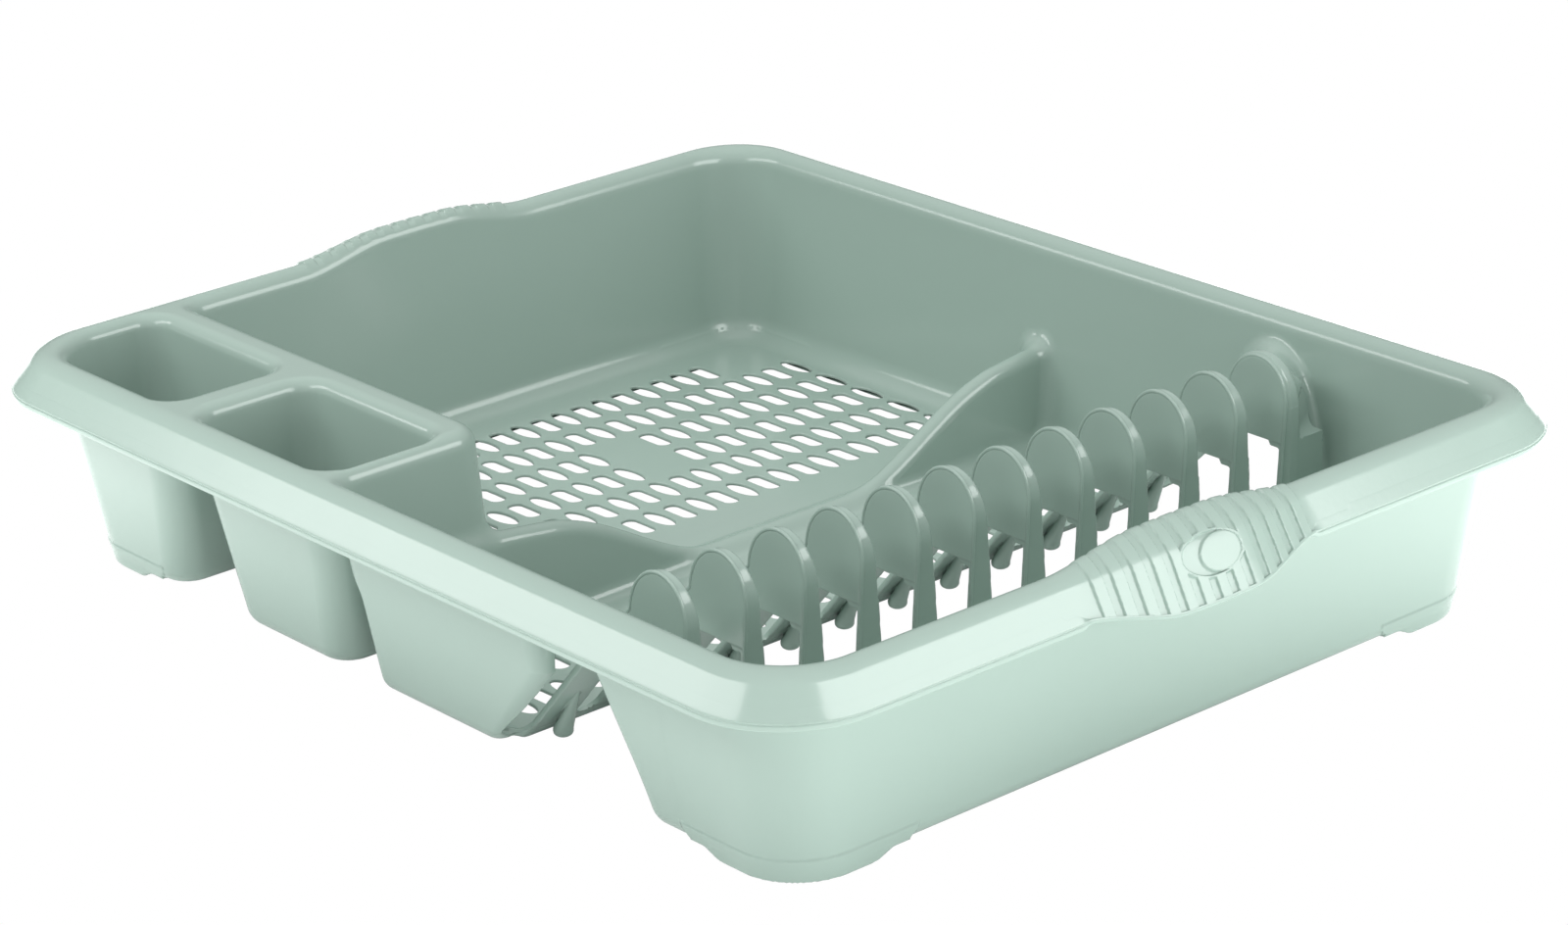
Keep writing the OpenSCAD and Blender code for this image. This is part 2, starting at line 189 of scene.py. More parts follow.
def rim_frame(x, y, z):
    """Grip amount, inset, and the distances along the rim's slope and out of it."""
    inset = -rounded_rect(x, y, HALF_X, HALF_Y, CORNER_R)
    b = grip_amount(y, np.sign(x)) * (np.abs(x) > HALF_X - SIDE_BAND)
    i0, z0, i1, z1 = slope_line(b)
    length = np.hypot(i1 - i0, z1 - z0)
    along = ((inset - i0) * (i1 - i0) + (z - z0) * (z1 - z0)) / length
    out = (-(z1 - z0) * (inset - i0) + (i1 - i0) * (z - z0)) / length
    return b, inset, along, out


def rim_envelope(x, y, z, relief):
    """The rim's slope and crest, with the grips' relief where it is asked for."""
    b, inset, along, out = rim_frame(x, y, z)
    top = round_and(out, z - (CREST + GRIP_RISE * b), CREST_ROUND + GRIP_ROUND * b)
    if relief:
        top = top - grip_relief(y * np.sign(x), inset, along)
    return top


def grip_relief(y, inset, along):
    """Height of the grip's ribs and of the blank medallion above the rim's slope."""
    v = y - RIB_SLANT * along - RIB_FIRST
    off = np.abs(v - RIB_PITCH * np.clip(np.round(v / RIB_PITCH), 0, RIB_LAST))
    rib = smooth((RIB_WIDTH / 2 - off) / RIB_EDGE + 0.5)
    rib = rib * smooth((along - RIB_START) / RIB_START) * smooth((RIB_END - inset) / 5)
    dy, du = y - PAD_Y, along - PAD_UP
    across, up = dy - 0.4 * du, du + 0.1 * dy
    oval = np.hypot(across / OVAL_HALF[0], up / OVAL_HALF[1])
    disc = np.hypot((across - DISC_SHIFT[0]) / DISC_HALF[0], (up + DISC_SHIFT[1]) / DISC_HALF[1])
    pad = smooth((1.12 - oval) / 0.05)
    recess = smooth((1.0 - oval) / 0.06) * (1 - smooth((1.0 - disc) / 0.08))
    return np.maximum(rib, pad) * (1 - recess) * RIB_RISE


# ---------- the tub ----------

def outer_inset(z):
    """Inset of the tub's outer face."""
    return OUTER_INSET - OUTER_DRAFT * z


def wall_inset(z, under):
    """Inset of the tub's wall face: the seen inner face, or the one behind the outer face."""
    return outer_inset(z) + SHEET if under else INNER_INSET - INNER_DRAFT * (z - FLOOR)


def tub_side(x, y, z, under):
    """Distance out of the tub's wall face."""
    inset = wall_inset(z, under)
    r = WALL_R + WALL_R_GROWTH * z - SHEET - (0 if under else INNER_R_LESS)
    return rounded_rect(x, y, HALF_X - inset, HALF_Y - inset, r)


def cup_block(x, y, z):
    """The block that the two cups are sunk in: its faces towards the basin and the trough."""
    down = CUP_TOP - z
    return round_and(x - BLOCK_X - BLOCK_DRAFTS[0] * down, y - BLOCK_Y - BLOCK_DRAFTS[1] * down,
                     BLOCK_ROUND)


def cups(x, y, z):
    """Sections of the two cups: in the corner, and beside it."""
    down = CUP_TOP - z
    back = y - CUP_BACK_Y + CUP_BACK_DRAFT * down
    first = x - CUP_1_RIGHT + CUP_1_DRAFT * down
    second = np.maximum(CUP_2_LEFT + CUP_2_DRAFTS[0] * down - x,
                        x - CUP_2_RIGHT + CUP_2_DRAFTS[1] * down)
    return [round_and(across, back, CUP_ROUND) for across in (first, second)]


def ridge_z(y):
    """Height of the wavy divider's top."""
    u = np.abs(y - DIVIDER_MID)
    return (RIDGE_LOW + RIDGE_RISE * smooth((u - RIDGE_START) / RIDGE_LENGTH)
            + SHOULDER_RISE * smooth((u - SHOULDER_START) / SHOULDER_LENGTH))


def divider(x, y, z):
    """The wavy divider, with the round post at its back end."""
    top = ridge_z(y)
    side = np.abs(x - DIVIDER_X) - DIVIDER_HALF - DIVIDER_DRAFT * (top - z)
    ridge = round_and(side, (z - top) * 0.9, DIVIDER_HALF)
    post_y = HALF_Y - wall_inset(POST_Z, False)
    post = np.hypot(x - DIVIDER_X + POST_SHIFT, y - post_y) - POST_R - 0.02 * (POST_Z - z)
    post = round_and(post, z - POST_TOP, 4)
    return round_or(ridge, post, 3)


# ---------- the plate rack ----------

def web_line(z):
    """Where the web's sloping face stands at height z."""
    return WEB_X + WEB_LEAN * (z - WEB_Z)


def web_face(x, z):
    """Trough side of the sloping web."""
    return np.maximum(WEB_X - x, (web_line(z) - x) * WEB_COS)


def band_x(z):
    """Outer edge of the fins' legs."""
    return LEG_X + LEG_LEAN * (z - FLOOR)


def fin_half(z):
    """Half the width of a fin's edge at height z."""
    return np.where(z > FIN_BEND, ARCH_HALF + ARCH_DRAFT * (FIN_TOP - z),
                    LEG_HALF + LEG_DRAFT * (FIN_BEND - z))


def fin_y(y):
    """Middle of the fin nearest to y."""
    return np.clip(FIN_PITCH * np.floor(y / FIN_PITCH) + FIN_PITCH / 2, -FIN_END_Y, FIN_END_Y)


def slot_y(y):
    """Middle of the gap nearest to y."""
    return np.clip(FIN_PITCH * np.round(y / FIN_PITCH), -SLOT_END_Y, SLOT_END_Y)


def fin_outline(x, z):
    """A fin seen along Y: an arch on an upright leg and a leaning back."""
    arch = (np.hypot((x - ARCH_X) / ARCH_RX, (z - ARCH_Z) / ARCH_RZ) - 1) * ARCH_SCALE
    lean = np.where(z > BACK_Z, BACK_LEAN, WEB_LEAN)
    left = BACK_X + lean * (z - BACK_Z) - x
    return np.where(z > ARCH_Z, arch, np.maximum(left * BACK_COS, x - band_x(z)))


def fins(x, y, z):
    """The row of fins above the web."""
    outline = np.maximum(fin_outline(x, z), FIN_FOOT - z)
    return round_and(outline, np.abs(y - fin_y(y)) - fin_half(z), 1.1)


def bosses(x, y, z):
    """Half fins on the end walls: the front one stands clear, the back one meets the last fin."""
    far = np.abs(y)
    left = (web_line(np.minimum(z, BOSS_LEFT_TOP)) - x) * BOSS_LEFT_COS
    right = (x - BOSS_RIGHT - BOSS_LEAN * (BOSS_RIGHT_Z - z)) * BOSS_COS
    at_wall = round_and(round_and(left, z - BOSS_TOP, 14), right, 12)
    share = np.clip((far - BOSS_START_Y) / BOSS_REACH, 0, 1)
    outline = (1 - share) * fin_outline(x, z) + share * at_wall
    body = round_and(outline, WALL_Y - 0.03 * (78 - z) - far, 2.5)
    body = np.minimum(body, np.maximum(outline, FIN_END_Y - y))
    return np.maximum(body, far - BOSS_BURIED_Y)


def web_cuts(x, y, z):
    """Everything that is open between and below the fins."""
    half_pitch = FIN_PITCH / 2
    end = np.abs(y) > SLOT_END_Y - half_pitch
    dy = np.abs(y - slot_y(y))
    slot_dy = np.where(end, np.abs(np.abs(y) - END_SLOT_Y), dy)
    half = np.where(end, END_SLOT_HALF, WEB_SLOT_HALF)
    up = (z - WEB_SLOT_Z) * WEB_SECANT
    slot = np.hypot(np.maximum(half - up, 0), slot_dy) - half
    slot = np.maximum(np.maximum(slot, x - WEB_SLOT_X1), WEB_SLOT_X0 - x)
    legs = np.maximum(half_pitch - fin_half(z), 0)
    gap = np.maximum(dy - legs, GAP_X0 - x)
    round_end = np.hypot(np.maximum(x - GAP_END_X, 0), dy) - GAP_END_R
    gap = np.maximum(gap, np.where(x > GAP_END_X - 5, round_end, -5))
    gap = np.maximum(gap, y - (SLOT_END_Y - half_pitch))
    right = np.minimum(UNDER_X + (FIN_CUT - z) * UNDER_LEAN, band_x(z) - LEG_SHEET)
    under = np.maximum((web_line(z) + UNDER_SHEET - x) * WEB_COS, x - right)
    cuts = np.minimum(slot, np.maximum(np.minimum(gap, under), np.abs(y) - WALL_Y))
    return np.maximum(cuts, z - FIN_CUT)


def web_ribs(x, y, z):
    """Pointed ribs under the web, as round cones from foot to tip."""
    t = np.clip((z - FLOOR) / RIB_LENGTH, 0, 1)
    centre_x = RIB_FOOT_X + RIB_TIP_DX * t
    radius = RIB_FOOT_R - RIB_TIP_DR * t
    cone = (np.hypot(x - centre_x, y - fin_y(y)) - radius) * 0.84
    cone = round_and(cone, RIB_FOOT_Z - z, 2)
    return np.maximum(np.maximum(cone, z - RIB_TOP_Z), np.abs(y) - WALL_Y)


# ---------- the whole moulding ----------

def feet(x, y, z):
    """Corner feet: the outer wall carried down to the surface."""
    corner = np.abs(x) + np.abs(y)
    bottom = FOOT_LIFT * (1 - smooth((corner - FOOT_DOWN) / FOOT_FADE))
    side = rounded_rect(x, y, HALF_X - outer_inset(z), HALF_Y - outer_inset(z), WALL_R)
    foot = round_and(side, -(side + 5), 1)
    foot = np.maximum(round_and(foot, bottom - z, 1.5), z - FOOT_TOP)
    return np.maximum(foot, (FOOT_START - corner) * 0.7)


def upper_solid(x, y, z, under, relief=False):
    """Field of everything below the moulding's upper surface."""
    side = tub_side(x, y, z, under)
    well_fillet, cup_fillet = (UNDER_FILLET,) * 2 if under else (WELL_FILLET, CUP_FILLET)
    well = round_and(side, -cup_block(x, y, z), 7)
    well = round_and(well, FLOOR - z, well_fillet)
    solid = round_and(rim_envelope(x, y, z, relief), -well, WELL_EDGE)
    for cup in cups(x, y, z):
        cup = round_and(round_and(cup, side, CUP_ROUND), FLOOR - z, cup_fillet)
        solid = round_and(solid, -cup, CUP_EDGE)
    hill = np.maximum(np.maximum(web_face(x, z), z - FIN_CUT), x - band_x(z))
    hill = np.maximum(hill, np.abs(y) - WALL_Y - 2)
    solid = round_or(solid, hill, 2)
    solid = np.minimum(solid, fins(x, y, z))
    solid = round_or(solid, bosses(x, y, z), 4)
    return round_or(solid, divider(x, y, z), 6)


def moulding(x, y, z, relief=False):
    """Field of the whole moulded sheet."""
    seen = upper_solid(x, y, z, False, relief)
    hidden = upper_solid(x, y, z, True)
    near_fins = smooth((x - 90) / 4) * smooth((140 - x) / 6)
    near_fins = near_fins * smooth((WALL_Y + 3 - np.abs(y)) / 3)
    sheet = SHEET + (FIN_SHEET - SHEET) * near_fins
    solid = round_and(seen, -(hidden + sheet), 0.3)
    solid = round_and(solid, -web_cuts(x, y, z), 0.5)
    solid = np.minimum(solid, web_ribs(x, y, z))
    return round_or(solid, feet(x, y, z), 1)


# ---------- surface of a field ----------

CORNERS = np.array([(i, j, k) for i in (0, 1) for j in (0, 1) for k in (0, 1)])
EDGES = [(a, b) for a in range(8) for b in range(a + 1, 8)
         if np.abs(CORNERS[a] - CORNERS[b]).sum() == 1]

GRID_TOLERANCE = 1e-6                       # keeps a point on a box's face on one side of it
SLOPE_STEP, NORMAL_STEP = 0.05, 0.12        # steps that the field's gradient is taken over
MOVES, MOST_MOVE = 3, 0.45                  # moves on to the surface, and their limit in cells


def surface_net(values, first, step):
    """Vertices and quads of a field's zero surface, and the middle of each quad's grid edge."""
    inside = values < 0
    nx, ny, nz = values.shape
    count = np.zeros((nx - 1, ny - 1, nz - 1), np.int8)
    for i, j, k in CORNERS:
        count += inside[i:nx - 1 + i, j:ny - 1 + j, k:nz - 1 + k]
    cells = np.argwhere((count > 0) & (count < 8))
    index = np.full(count.shape, -1, np.int64)
    index[tuple(cells.T)] = np.arange(len(cells))
    total = np.zeros((len(cells), 3))
    hits = np.zeros(len(cells))
    corner_values = [values[tuple((cells + c).T)] for c in CORNERS]
    for a, b in EDGES:
        fa, fb = corner_values[a], corner_values[b]
        cross = (fa < 0) != (fb < 0)
        t = np.where(cross, fa / np.where(cross, fa - fb, 1), 0)
        point = CORNERS[a] + t[:, None] * (CORNERS[b] - CORNERS[a])
        total += point * cross[:, None]
        hits += cross
    points = (first + cells + total / hits[:, None]) * step
    quads, middles = [], []
    for axis in range(3):
        u, v = (axis + 1) % 3, (axis + 2) % 3
        near = [slice(None)] * 3
        far = [slice(None)] * 3
        near[axis], far[axis] = slice(0, -1), slice(1, None)
        at = np.argwhere(inside[tuple(near)] != inside[tuple(far)])
        for side in (u, v):
            at = at[(at[:, side] > 0) & (at[:, side] < values.shape[side] - 1)]
        starts = inside[tuple(at.T)]
        ring = []
        for du, dv in ((-1, -1), (0, -1), (0, 0), (-1, 0)):
            cell = at.copy()
            cell[:, u] += du
            cell[:, v] += dv
            ring.append(index[tuple(cell.T)])
        quad = np.stack(ring, 1)
        quad[~starts] = quad[~starts][:, ::-1]
        quads.append(quad)
        half = np.zeros(3)
        half[axis] = 0.5
        middles.append((first + at + half) * step)
    return points, np.concatenate(quads), np.concatenate(middles)


def gradient(field, p, e):
    """The field's gradient at points p, over steps of e to either side."""
    parts = []
    for axis in range(3):
        d = np.zeros(3)
        d[axis] = e
        parts.append(field(*(p + d).T) - field(*(p - d).T))
    return np.stack(parts, 1) / (2 * e)


def in_box(p, box, margin):
    """Which points are in a box given as x0, x1, y0, y1, z0, z1, widened by a margin."""
    low = np.array(box[0::2]) - margin - GRID_TOLERANCE
    high = np.array(box[1::2]) + margin - GRID_TOLERANCE
    return ((p >= low) & (p < high)).all(axis=1)


def mesh_of(field, box, step, keep):
    """The part of a field's surface in a box, with its points moved on to the exact surface.

    All boxes of one step share one grid, so neighbours meet at the same points.
    """
    first = np.floor(np.array(box[0::2]) / step).astype(int) - 2
    last = np.ceil(np.array(box[1::2]) / step).astype(int) + 2
    axes = [np.arange(first[a], last[a] + 1) * step for a in range(3)]
    values = field(axes[0][:, None, None], axes[1][None, :, None], axes[2][None, None, :])
    points, quads, middles = surface_net(values, first, step)
    quads = quads[in_box(middles, box, 0) & keep(middles)]
    used, quads = np.unique(quads, return_inverse=True)
    points, quads = points[used], quads.reshape(-1, 4)
    start = points.copy()
    for _ in range(MOVES):
        g = gradient(field, points, SLOPE_STEP)
        size = np.maximum((g * g).sum(1), 0.25)
        points = points - g * (field(*points.T) / size)[:, None]
        points = start + np.clip(points - start, -MOST_MOVE * step, MOST_MOVE * step)
    g = gradient(field, points, NORMAL_STEP)
    return points, quads, g / np.maximum(np.linalg.norm(g, axis=1), 1e-6)[:, None]


def joined(parts):
    """Several meshes of points, quads and normals as one."""
    points, quads, normals, first = [], [], [], 0
    for p, q, n in parts:
        points.append(p)
        quads.append(q + first)
        normals.append(n)
        first += len(p)
    return np.concatenate(points), np.concatenate(quads), np.concatenate(normals)


def make_piece(name, parts, nodes, material):
    """A smooth piece from meshes with normals, which takes the place of CAD nodes."""
    points, quads, normals = joined(parts)
    mesh = bpy.data.meshes.new(name)
    mesh.from_pydata((points * MM).tolist(), [], quads.tolist())
    mesh.polygons.foreach_set("use_smooth", np.ones(len(quads), bool))
    mesh.normals_split_custom_set_from_vertices(normals.tolist())
    return finish_piece(name, mesh, nodes, material)


def finish_piece(name, mesh, nodes, material):
    """Put a mesh in the scene, riding on the rack, with its finish and the nodes it replaces."""
    piece = bpy.data.objects.new(name, mesh)
    bpy.context.scene.collection.objects.link(piece)
    mesh.materials.append(material)
    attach(piece, "root")
    if nodes:
        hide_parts(*nodes)
    return piece


# ---------- materials ----------

def add_node(tree, kind, **values):
    """A new node with some of its inputs set."""
    node = tree.nodes.new("ShaderNode" + kind)
    for name, value in values.items():
        node.inputs[name.replace("_", " ")].default_value = value
    return node


def add_math(tree, kind, operation, factor=None):
    """A Math or VectorMath node, with its second input set where a factor is given."""
    node = add_node(tree, kind)
    node.operation = operation
    if factor is not None:
        node.inputs[1].default_value = factor
    return node


def plain_to_camera(tree, lit, white, output):
    """The camera sees plain white, and everything else is lit by the lit shader."""
    mix = add_node(tree, "MixShader")
    path = add_node(tree, "LightPath")
    tree.links.new(path.outputs["Is Camera Ray"], mix.inputs[0])
    tree.links.new(lit.outputs[0], mix.inputs[1])
    tree.links.new(white.outputs[0], mix.inputs[2])
    tree.links.new(mix.outputs[0], output.inputs["Surface"])


def sage_plastic():
    """Glossy moulded polypropylene: faint flow marks in its colour, gloss and surface."""
    material = bpy.data.materials.new("sage_plastic")
    material.use_nodes = True
    tree = material.node_tree
    shader = tree.nodes["Principled BSDF"]
    shader.inputs["IOR"].default_value = 1.49
    where = add_node(tree, "TexCoord")

    def noise(scale, detail):
        node = add_node(tree, "TexNoise", Scale=scale, Detail=detail)
        tree.links.new(where.outputs["Object"], node.inputs["Vector"])
        return node.outputs["Fac"]

    tint = add_node(tree, "Mix")
    tint.data_type = "RGBA"
    tint.inputs["A"].default_value = (*BASE_DARK, 1)
    tint.inputs["B"].default_value = (*BASE_LIGHT, 1)
    tree.links.new(noise(9, 3), tint.inputs["Factor"])
    tree.links.new(tint.outputs["Result"], shader.inputs["Base Color"])

    gloss = add_node(tree, "MapRange", To_Min=0.12, To_Max=0.19)
    tree.links.new(noise(60, 4), gloss.inputs["Value"])
    tree.links.new(gloss.outputs["Result"], shader.inputs["Roughness"])

    bump = add_node(tree, "Bump", Strength=0.05, Distance=0.0004)
    tree.links.new(noise(420, 2), bump.inputs["Height"])
    tree.links.new(bump.outputs["Normal"], shader.inputs["Normal"])
    return material


# ---------- pieces from the field ----------

EDGE_X, EDGE_Y = HALF_X + 12, HALF_Y + 4
GRIP_Y, GRIP_FOOT_X, GRIP_FOOT_Z, INNER = 66.0, 222.0, 64.0, 190.0
FIN_X0, FIN_X1, FIN_ROOF = 52.0, 152.0, 86.0
SPLIT, DEEP, TOP, RIM_Y = 72.0, -2.0, 93.0, 150

# Boxes drawn on a finer grid: the rack's end walls, the fins and the grips
END_WALLS = [(FIN_X0, FIN_X1, -EDGE_Y, -SLOT_END_Y, DEEP, SPLIT),
             (FIN_X0, FIN_X1, SLOT_END_Y, EDGE_Y, DEEP, SPLIT)]
GRIP_BOXES = {
    "grip_left": [(-EDGE_X, -INNER, -GRIP_Y, GRIP_Y, SPLIT, TOP),
                  (-EDGE_X, -GRIP_FOOT_X, -GRIP_Y, GRIP_Y, GRIP_FOOT_Z, SPLIT)],
    "grip_right": [(INNER, EDGE_X, -GRIP_Y, GRIP_Y, SPLIT, TOP),
                   (GRIP_FOOT_X, EDGE_X, -GRIP_Y, GRIP_Y, GRIP_FOOT_Z, SPLIT)]}
FINE = [*END_WALLS, (FIN_X0, FIN_X1, -SLOT_END_Y, SLOT_END_Y, DEEP, FIN_ROOF),
        *GRIP_BOXES["grip_left"], *GRIP_BOXES["grip_right"]]

# How far up the slope the field begins and the lip ends, on the two grids and beside a bar
LIP_COARSE, LIP_FINE, LIP_BAR_LESS, LIP_INSET = 2.7, 1.9, 1.2, 9

# Depth that the coarse grid is sunk by, and the margin in which, where it runs under a fine one
SINK, SINK_MARGIN = 0.03, 0.6


def frame_amount(y, side):
    """How far the lip has turned into the bar at the foot of a grip's ribs."""
    return smooth((56 - np.abs(y + GRIP_SHIFT * side)) / 5)


def on_moulding(p, lip_end):
    """False where the lip or a slotted floor plate takes the moulding's place."""
    _, inset, along, _ = rim_frame(*p.T)
    keep = (inset > LIP_INSET) | (along > lip_end)
    for window in (BASIN_WINDOW, TROUGH_WINDOW):
        keep &= ~in_box(p, (*window, FLOOR - 10, FLOOR + 4), 0)
    return keep


def fin_bead(middle):
    """Fine bead along the edge of a fin's flat face: points, quads and normals."""
    path = [(band_x(z), z, 1.0, 0.0) for z in np.linspace(FLOOR, 64, 17)]
    for a in np.linspace(0, math.pi, 27)[1:-1]:
        c, s = math.cos(a), math.sin(a)
        path.append((ARCH_X + ARCH_RX * c, ARCH_Z + ARCH_RZ * s, c, s))
    path += [(BACK_X + BACK_LEAN * (z - BACK_Z), z, -BACK_COS, BACK_SIN)
             for z in np.linspace(64, 51, 5)]
    points, normals, quads, sides = [], [], [], 10
    for k, (x, z, nx, nz) in enumerate(path):
        y = middle - float(fin_half(np.array(z))) + BEAD_IN
        for s in range(sides):
            turn = 2 * math.pi * s / sides
            c, w = math.cos(turn), math.sin(turn)
            out = BEAD_R * c - BEAD_SUNK
            normals.append((c * nx, w, c * nz))
            points.append((x + out * nx, y + BEAD_R * w, z + out * nz))
            if k:
                n, last, here = (s + 1) % sides, (k - 1) * sides, k * sides
                quads.append((last + s, last + n, here + n, here + s))
    return np.array(points), np.array(quads), np.array(normals)


def build_field_pieces(material):
    """Every piece that is cut from the moulding's field, and the beads on the fins."""
    body_step = 1.25
    fin_step = FIN_PITCH / 32
    grip_step = 0.5
    lap = 1.2 * body_step

    def keep_coarse(p):
        keep = on_moulding(p, LIP_COARSE)
        for box in FINE:
            keep &= ~in_box(p, box, -lap)
        return keep

    def region(name, boxes, nodes):
        """A piece on the coarse grid, a little deeper where it runs under a finer one."""
        parts = []
        for box in boxes:
            points, quads, normals = mesh_of(moulding, box, body_step, keep_coarse)
            sunk = np.zeros(len(points), bool)
            for fine in FINE:
                sunk |= in_box(points, fine, SINK_MARGIN)
            points[sunk] -= SINK * normals[sunk]
            parts.append((points, quads, normals))
        return make_piece(name, parts, nodes, material)

    def fine_region(name, boxes, nodes, step, relief=False):
        """A piece on a finer grid, with the grips' relief where it is asked for."""
        def field(x, y, z):
            return moulding(x, y, z, relief)

        def keep(p):
            bar = frame_amount(p[:, 1], np.sign(p[:, 0]))
            return on_moulding(p, LIP_FINE - LIP_BAR_LESS * bar)

        parts = [mesh_of(field, box, step, keep) for box in boxes]
        return make_piece(name, parts, nodes, material)

    beside = GRIP_Y - lap
    over = SPLIT - lap
    for name, box_y, grip_y, fins_y in (
            ("rim_front", (-EDGE_Y, -RIM_Y), (-RIM_Y, -beside), (-EDGE_Y, -SLOT_END_Y)),
            ("rim_back", (RIM_Y, EDGE_Y), (beside, RIM_Y), (SLOT_END_Y, EDGE_Y))):
        region(name, [(-EDGE_X, FIN_X0, *box_y, SPLIT, TOP), (FIN_X1, EDGE_X, *box_y, SPLIT, TOP),
                      (FIN_X0, FIN_X1, *fins_y, over, TOP),
                      (-EDGE_X, -INNER, *grip_y, SPLIT, TOP),
                      (INNER, EDGE_X, *grip_y, SPLIT, TOP)], [name])
    region("cup_deck", [(-INNER, -14, -RIM_Y, -98, SPLIT, TOP)], ["cup_deck"])
    for name, boxes in GRIP_BOXES.items():
        fine_region(name, boxes, [name], grip_step, True)

    cups_y, cup_gap_x, cup_right_x = -112.0, -119.0, -26.5
    corner_x, basin_x, trough_x, back_y = -150, -36.0, -10.0, 60
    to_fins = FIN_X0 + lap
    region("wall_left", [(-EDGE_X, corner_x, cups_y, EDGE_Y, DEEP, SPLIT),
                         (-EDGE_X, -INNER, -beside, beside, SPLIT, SPLIT + lap)],
           ["wall_left", "foot_back_left"])
    region("wall_back", [(corner_x, basin_x, back_y, EDGE_Y, DEEP, SPLIT),
                         (trough_x, to_fins, back_y, EDGE_Y, DEEP, SPLIT)], ["wall_back"])
    region("basin_front_skin", [(corner_x, basin_x, cups_y, back_y, DEEP, SPLIT)],
           ["basin_front_skin"])
    region("cutlery_cup_1", [(-EDGE_X, cup_gap_x, -EDGE_Y, cups_y, DEEP, SPLIT)],
           ["cutlery_cup_1", "foot_front_left"])
    region("cutlery_cup_2", [(cup_gap_x, cup_right_x, -EDGE_Y, cups_y, DEEP, SPLIT)],
           ["cutlery_cup_2"])
    region("wave_divider", [(basin_x, trough_x, cups_y, EDGE_Y, DEEP, SPLIT)],
           ["wave_divider", "divider_pilaster"])
    region("wall_front", [(cup_right_x, trough_x, -EDGE_Y, cups_y, DEEP, SPLIT),
                          (trough_x, to_fins, -EDGE_Y, back_y, DEEP, SPLIT)], ["wall_front"])
    region("wall_right", [(FIN_X1 - lap, EDGE_X, -EDGE_Y, EDGE_Y, DEEP, SPLIT),
                          (INNER, EDGE_X, -beside, beside, SPLIT, SPLIT + lap)],
           ["wall_right", "foot_front_right", "foot_back_right", "rack_floor"])
    for end, box in zip(("front", "back"), END_WALLS):
        fine_region(f"rack_boss_{end}", [box], [f"rack_boss_{end}", f"bridge_{end}"], fin_step)
    row = [-SLOT_END_Y + i * FIN_PITCH for i in range(13)]

    def keep_all(p):
        return np.ones(len(p), bool)

    def fin(i, nodes):
        """Fin i of the row, with the stretch of web under it and its bead."""
        box = (FIN_X0, FIN_X1, row[i], row[i + 1], DEEP, FIN_ROOF)
        parts = [mesh_of(moulding, box, fin_step, keep_all), fin_bead(row[i] + FIN_PITCH / 2)]
        return make_piece(f"plate_fin_{i + 1:02d}", parts, nodes, material)

    fin(0, ["plate_fin_01", "rack_web", "web_ribs"])
    fin(11, ["plate_fin_12"])
    model = fin(5, ["plate_fin_06"])
    for i in (*range(1, 5), *range(6, 11)):
        name = f"plate_fin_{i + 1:02d}"
        mesh = model.data.copy()
        mesh.materials.clear()
        copy = finish_piece(name, mesh, [name], material)
        copy.location.y = (i - 5) * FIN_PITCH * MM


# ---------- lip ----------

def soften(points, times):
    """Cut the corners of an open line of points, keeping its two ends."""
    for _ in range(times):
        cut = [points[:1]]
        for k in range(len(points) - 1):
            a, b = points[k], points[k + 1]
            cut.append(np.stack([0.75 * a + 0.25 * b, 0.25 * a + 0.75 * b]))
        cut.append(points[-1:])
        points = np.concatenate(cut)
    return points


def lip_profile(b, fine, bar):
    """Section of the lip as (inset, height): slope, fine groove, bead, bottom and back up inside.

    Below a grip the bead turns into a low bar as high as the ribs (bar = 1).
    """
    i0, z0, i1, z1 = slope_line(b)
    length = math.hypot(i1 - i0, z1 - z0)
    di, dz = (i1 - i0) / length, (z1 - z0) / length

    def on_slope(t, h):
        return i0 + di * t - dz * h, z0 + dz * t + di * h

    def at(pairs):
        return [(i0 + i, z0 + z) for i, z in pairs]

    top, end = (2.9, 3.5) if fine else (4.4, 5.4)
    plain = [on_slope(end, -0.05), on_slope(top, 0.035), on_slope(1.2, 0.035), on_slope(0.2, 0.0),
             on_slope(-0.1, -0.05), on_slope(-0.3, -0.4), on_slope(-0.6, -0.4)]
    plain += at(((-0.25, -0.75), (-0.42, -1.1), (-0.42, -2.0), (-0.2, -2.6), (0.3, -2.8),
                 (1.1, -2.8), (1.6, -2.6), (1.8, -2.1), (1.9, -1.2), (2.2, -0.5), (2.8, 0.1)))
    plain += [on_slope(3.3, -SHEET), on_slope(top + 0.6, -SHEET), on_slope(end + 0.6, 0.1 - SHEET)]
    low = [on_slope(2.0, -0.25), on_slope(1.2, -0.15), on_slope(1.05, 0.3), on_slope(0.95, 0.85),
           on_slope(0.7, 0.97), on_slope(0.1, 0.97), on_slope(-0.25, 0.8), on_slope(-0.4, 0.4)]
    low += at(((-0.2, -0.1), (0.0, -0.5), (0.3, -0.8), (0.6, -0.9), (1.1, -0.9), (1.6, -0.8),
               (1.8, -0.5), (2.0, 0.0), (2.3, 0.5), (2.8, 1.0)))
    low += [on_slope(3.3, -SHEET), on_slope(3.5, -SHEET), on_slope(4.1, 0.1 - SHEET)]
    return soften((1 - bar) * np.array(plain) + bar * np.array(low), 2)


